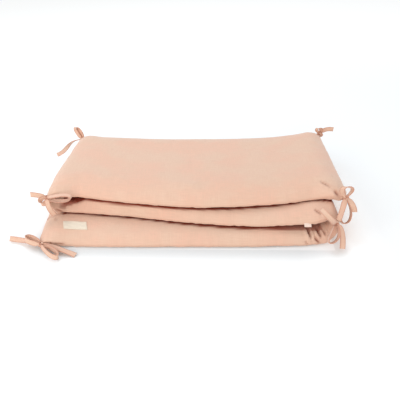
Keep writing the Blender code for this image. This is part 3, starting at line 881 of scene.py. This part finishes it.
def build_tie(number, name):
    place, edge = name.rsplit("_", 1)
    (knot, strands), out = TIES[name], -1 if edge == "front" else 1
    seam = strip.middle(np.array([strip.tie_places[place]]), 0 if out < 0 else 1)[0]
    centre = seam + np.array(knot) * MM
    shells = Shells()
    add_knot(shells, centre, (0.1, 0.75 * out, 0.6))
    length = KNOT_CLOTH
    for index, strand in enumerate(strands):
        length += add_strand(shells, centre, strand, 40 + 10 * number + index)
    tie = shells.build("strap_" + name, STRAP_CLOTH)
    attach(tie, "root")
    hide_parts("tie_" + name)


# ------ the label and the tape

LABEL_SIZE = (0.053, 0.0235)
LABEL_THICKNESS = 0.0007
LABEL_PLACE = (0.079, 0.044)  # its middle, along the strip and in from the front seam
LABEL_SKEW = 0.006
LABEL_GAP = 0.0003  # between the label and the cloth
LABEL_PUFF = (0.0005, 0.004)  # how high it puffs up inside its stitches, and from how far inside
LABEL_WAVE = (0.0002, 0.009)  # how high and how long its waves are
STITCH = (0.0021, 0.0031, 0.00032)  # length, from one to the next, and half thickness
STITCH_INSET = 0.0016
STITCH_ENDS = 0.94  # how near its ends come to a point


def on_cloth(tree, points, normals, lift, reach=0.012):
    """Points laid on the cloth below them, lifted off it."""
    laid = []
    for point, normal in zip(points, normals):
        point, normal = Vector(point), Vector(normal)
        hit = tree.ray_cast(point + normal * reach, -normal, 2 * reach)[0]
        laid.append((hit if hit else point) + normal * lift)
    return np.array(laid)


def label_place(x, y):
    """Places on the plain cover for the label's own places, from its lower left corner."""
    x, y = x - LABEL_SIZE[0] / 2, y - LABEL_SIZE[1] / 2
    return strip.cover(LABEL_PLACE[0] + x - LABEL_SKEW * y / LABEL_SIZE[1], LABEL_PLACE[1] + y, -1, 1)


def build_label(tree):
    columns, rows = 36, 18
    x, y = (values.ravel() for values in np.meshgrid(np.linspace(0, LABEL_SIZE[0], columns),
                                                     np.linspace(0, LABEL_SIZE[1], rows)))
    points, normals = label_place(x, y)
    inset = np.min([x, LABEL_SIZE[0] - x, y, LABEL_SIZE[1] - y], axis=0)
    (puff, puffed), (wave, length) = LABEL_PUFF, LABEL_WAVE
    raised = puff * smooth((inset - STITCH_INSET) / puffed) + wave * wander(x / length, y / length, 5)
    low = on_cloth(tree, points, normals, LABEL_GAP)
    top = low + normals * (LABEL_THICKNESS + raised)[:, None]
    under = rows * columns
    grid = np.arange(under).reshape(rows, columns)
    quads, rim = grid_quads(grid.T), rim_of(grid)
    after = np.roll(rim, -1)
    sides = np.stack([rim + under, after + under, after, rim], axis=-1)
    faces = np.concatenate([quads, quads[:, ::-1] + under, sides])
    uv = np.tile(np.stack([x, y], axis=-1), (2, 1))
    label = mesh_object("sewn_label", np.concatenate([top, low]), faces, LABEL_CLOTH, uv)
    stitches = Shells()
    length, apart, half_thickness = STITCH
    width, depth = (size - 2 * STITCH_INSET for size in LABEL_SIZE)
    bulge = half_thickness * np.sqrt(1 - np.linspace(-STITCH_ENDS, STITCH_ENDS, 5) ** 2)[:, None, None]
    turn = np.linspace(0, math.tau, 6, endpoint=False)[None, :, None]
    for side, fixed, turned in ((width, 0, 1), (width, depth, 1), (depth, 0, -1), (depth, width, -1)):
        for start in np.arange(0.0004, side - length, apart):
            run = start + length * np.linspace(0, 1, 5)
            place = STITCH_INSET + run, np.full(5, STITCH_INSET + fixed)
            points, normals = label_place(*place[::turned])
            laid = on_cloth(tree, points, normals, LABEL_GAP + LABEL_THICKNESS)
            beside = np.cross(unit(np.gradient(laid, axis=0)), normals)
            rings = laid[:, None] + bulge * (np.cos(turn) * beside[:, None] + np.sin(turn) * normals[:, None])
            stitches.add(rings, np.zeros((5, 6, 2)) + run[:, None, None])
    return label, stitches.build("label_stitches", SEWING_THREAD)


TAB_SIZE = (0.015, 0.0085)
TAB_LAYER = 0.0006
TAB_DROOP = math.radians(62)
TAB_FOLD = 0.00085  # how round its fold is, outside
TAB_SUNK = 0.0015  # how far its ends reach into the seam
TAB_SAG, TAB_WAVE, TAB_SKEW = 0.0010, 0.0004, 0.0012


def build_tab():
    """A short tape, folded double, with its two ends sewn into the seam."""
    low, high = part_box("care_tab")
    along = strip.starts[2] + LAYERS[1][0] - (low.x + high.x) / 2
    seam = strip.cover(along, 0.0, -1, 1)[0]
    width, proud = TAB_SIZE
    bend = np.linspace(-math.pi / 2, math.pi / 2, 7)
    arc = np.stack([np.cos(bend), np.sin(bend)], axis=-1)
    run = np.linspace(-TAB_SUNK, proud - TAB_FOLD, 8)
    lower = np.stack([run, np.full(8, -1.0)], axis=-1)
    upper = lower[::-1] * (1, -1)
    outside, inside = (
        np.concatenate([lower * (1, radius), (run[-1], 0) + arc[1:-1] * radius, upper * (1, radius)])
        for radius in (TAB_FOLD, TAB_FOLD - TAB_LAYER))
    out, height = np.concatenate([outside, inside[::-1]]).T
    x = np.linspace(-width / 2, width / 2, 12)[:, None]
    sag = TAB_SAG * np.sin(out / proud * 2.2) + TAB_WAVE * np.sin(x / width * 4 + 1)
    rings = np.stack(np.broadcast_arrays(x + TAB_SKEW * out / proud, -out, height + sag), axis=-1)
    droop = np.array(Matrix.Rotation(TAB_DROOP, 3, "X"))
    shells = Shells()
    shells.add(rings @ droop.T + seam + (0, TAB_SUNK, TAB_SUNK), rings[..., :2])
    return shells.build("tape_tab", TAB_CLOTH, sharp_from=60)


# ------ building it

bumper = build_pad()
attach(bumper, "root")
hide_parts("bumper_pad")

cover = bmesh.new()
cover.from_mesh(bumper.data)
pad_tree = BVHTree.FromBMesh(cover)
cover.free()

sewn_label, label_stitches = build_label(pad_tree)
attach(sewn_label, "root")
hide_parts("label")
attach(label_stitches, "root")

tape_tab = build_tab()
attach(tape_tab, "root")
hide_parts("care_tab")

for number, name in enumerate(TIES):
    build_tie(number, name)


# ------ floor, light and camera

FLOOR_SIZE = 30.0
FLOOR_COLOUR = (0.912, 0.92, 0.916, 1)
FAR_GLOW, FAR_FROM = 0.16, (0.9, 2.5)
SHADE_MIDDLE, SHADE_HALF = (-0.012, -0.040, 0), (0.318, 0.168, 1)  # where the stack stands on the floor
PAINTED_FLOOR_SHADOW = (0.23, 0.004, 0.048)  # painted shadow round the stack: its depth, and how far off the stack it starts to fade and ends
CONTACT_GLOW = (0.11, 0.0, 0.004)  # painted light: the floor's own glow right beside the stack
SIDE_GLOW, SIDE_FROM = (0.16, 0.040, 0.130), (0.22, 0.32)  # painted light: the same glow on its right side


def fading(distance, depth, start, end):
    """A value that falls from a depth to 0 between two distances."""
    return maths("MULTIPLY_ADD", stepped(distance, start, end), -depth, depth)


def vector_maths(operation, *values):
    return node("VectorMath", enumerate(values), operation=operation).outputs


def floor_material():
    """A pale floor with a painted soft shadow round the stack, painted light where it glows right beside the
    stack and on its right side, and as bright as its background far away.
    """
    material, shader = new_material("pale_floor_paint", roughness=1.0, specular=0.0)
    place = source(shader, "TexCoord", "Object")
    outside = place
    for operation, *values in (("SUBTRACT", SHADE_MIDDLE), ("ABSOLUTE",), ("SUBTRACT", SHADE_HALF),
                               ("MAXIMUM", (0, 0, 0))):
        outside = vector_maths(operation, outside, *values)[0]
    off_stack = vector_maths("LENGTH", outside)["Value"]
    far = maths("MULTIPLY", stepped(vector_maths("LENGTH", place)["Value"], *FAR_FROM), FAR_GLOW)
    to_side = stepped(node("SeparateXYZ", {0: place}).outputs[0], *SIDE_FROM)
    # Painted light: the floor glows beside the stack and on its right side, lightening the shadows there.
    side = maths("MULTIPLY_ADD", to_side, fading(off_stack, *SIDE_GLOW), far)
    glow = maths("ADD", side, fading(off_stack, *CONTACT_GLOW))
    # Painted shadow: the floor's colour is darkened round the stack.
    colour = blended(fading(off_stack, *PAINTED_FLOOR_SHADOW), FLOOR_COLOUR, (0, 0, 0, 1))
    fill(shader, {"Base Color": colour, "Emission Color": (1, 1, 1, 1), "Emission Strength": glow})
    return material


bpy.ops.mesh.primitive_plane_add(size=FLOOR_SIZE, location=(0, 0, -0.0002))
floor = bpy.context.object
floor.name = "pale_floor"
floor.data.materials.append(floor_material())


for name, place, aim, size, power, colour in (
    ("overhead_softbox", (-0.6, 1.2, 2.3), (0, 0, 0), 1.6, 20, (0.84, 1.0, 1.14)),
    ("front_softbox", (-0.2, -2.6, 0.75), (0, 0, 0.05), 1.4, 16, (1.08, 0.98, 0.92)),
    ("left_softbox", (-1.15, -0.7, 0.75), (-0.3, -0.1, 0.03), 0.8, 3.4, (1.02, 0.99, 0.98)),
):
    lamp = bpy.data.lights.new(name, "AREA")
    lamp.shape, lamp.size, lamp.energy, lamp.color = "DISK", size, power, colour
    made = new_object(name, lamp)
    made.location = place
    made.rotation_euler = (Vector(aim) - Vector(place)).to_track_quat("-Z", "Y").to_euler()

SKY_STRENGTH = 0.85
world = bpy.data.worlds.new("studio")
world.use_nodes = True
fill(world.node_tree.nodes["Background"], {"Color": (1, 1, 1, 1), "Strength": SKY_STRENGTH})
scene.world = world
scene.view_settings.view_transform = "Standard"

lens = bpy.data.cameras.new("photo_camera")
lens.sensor_width = SENSOR
lens.lens = SENSOR * PHOTO_FOCAL / PHOTO_SIDE
lens.clip_end = 100
camera = new_object("photo_camera", lens)
camera.matrix_world = (Matrix.Translation(CAMERA_PLACE) @ Matrix.Rotation(CAMERA_YAW, 4, "Z")
                       @ Matrix.Rotation(math.pi / 2 - CAMERA_DOWN, 4, "X")
                       @ Matrix.Rotation(CAMERA_ROLL, 4, "Z"))
scene.camera = camera
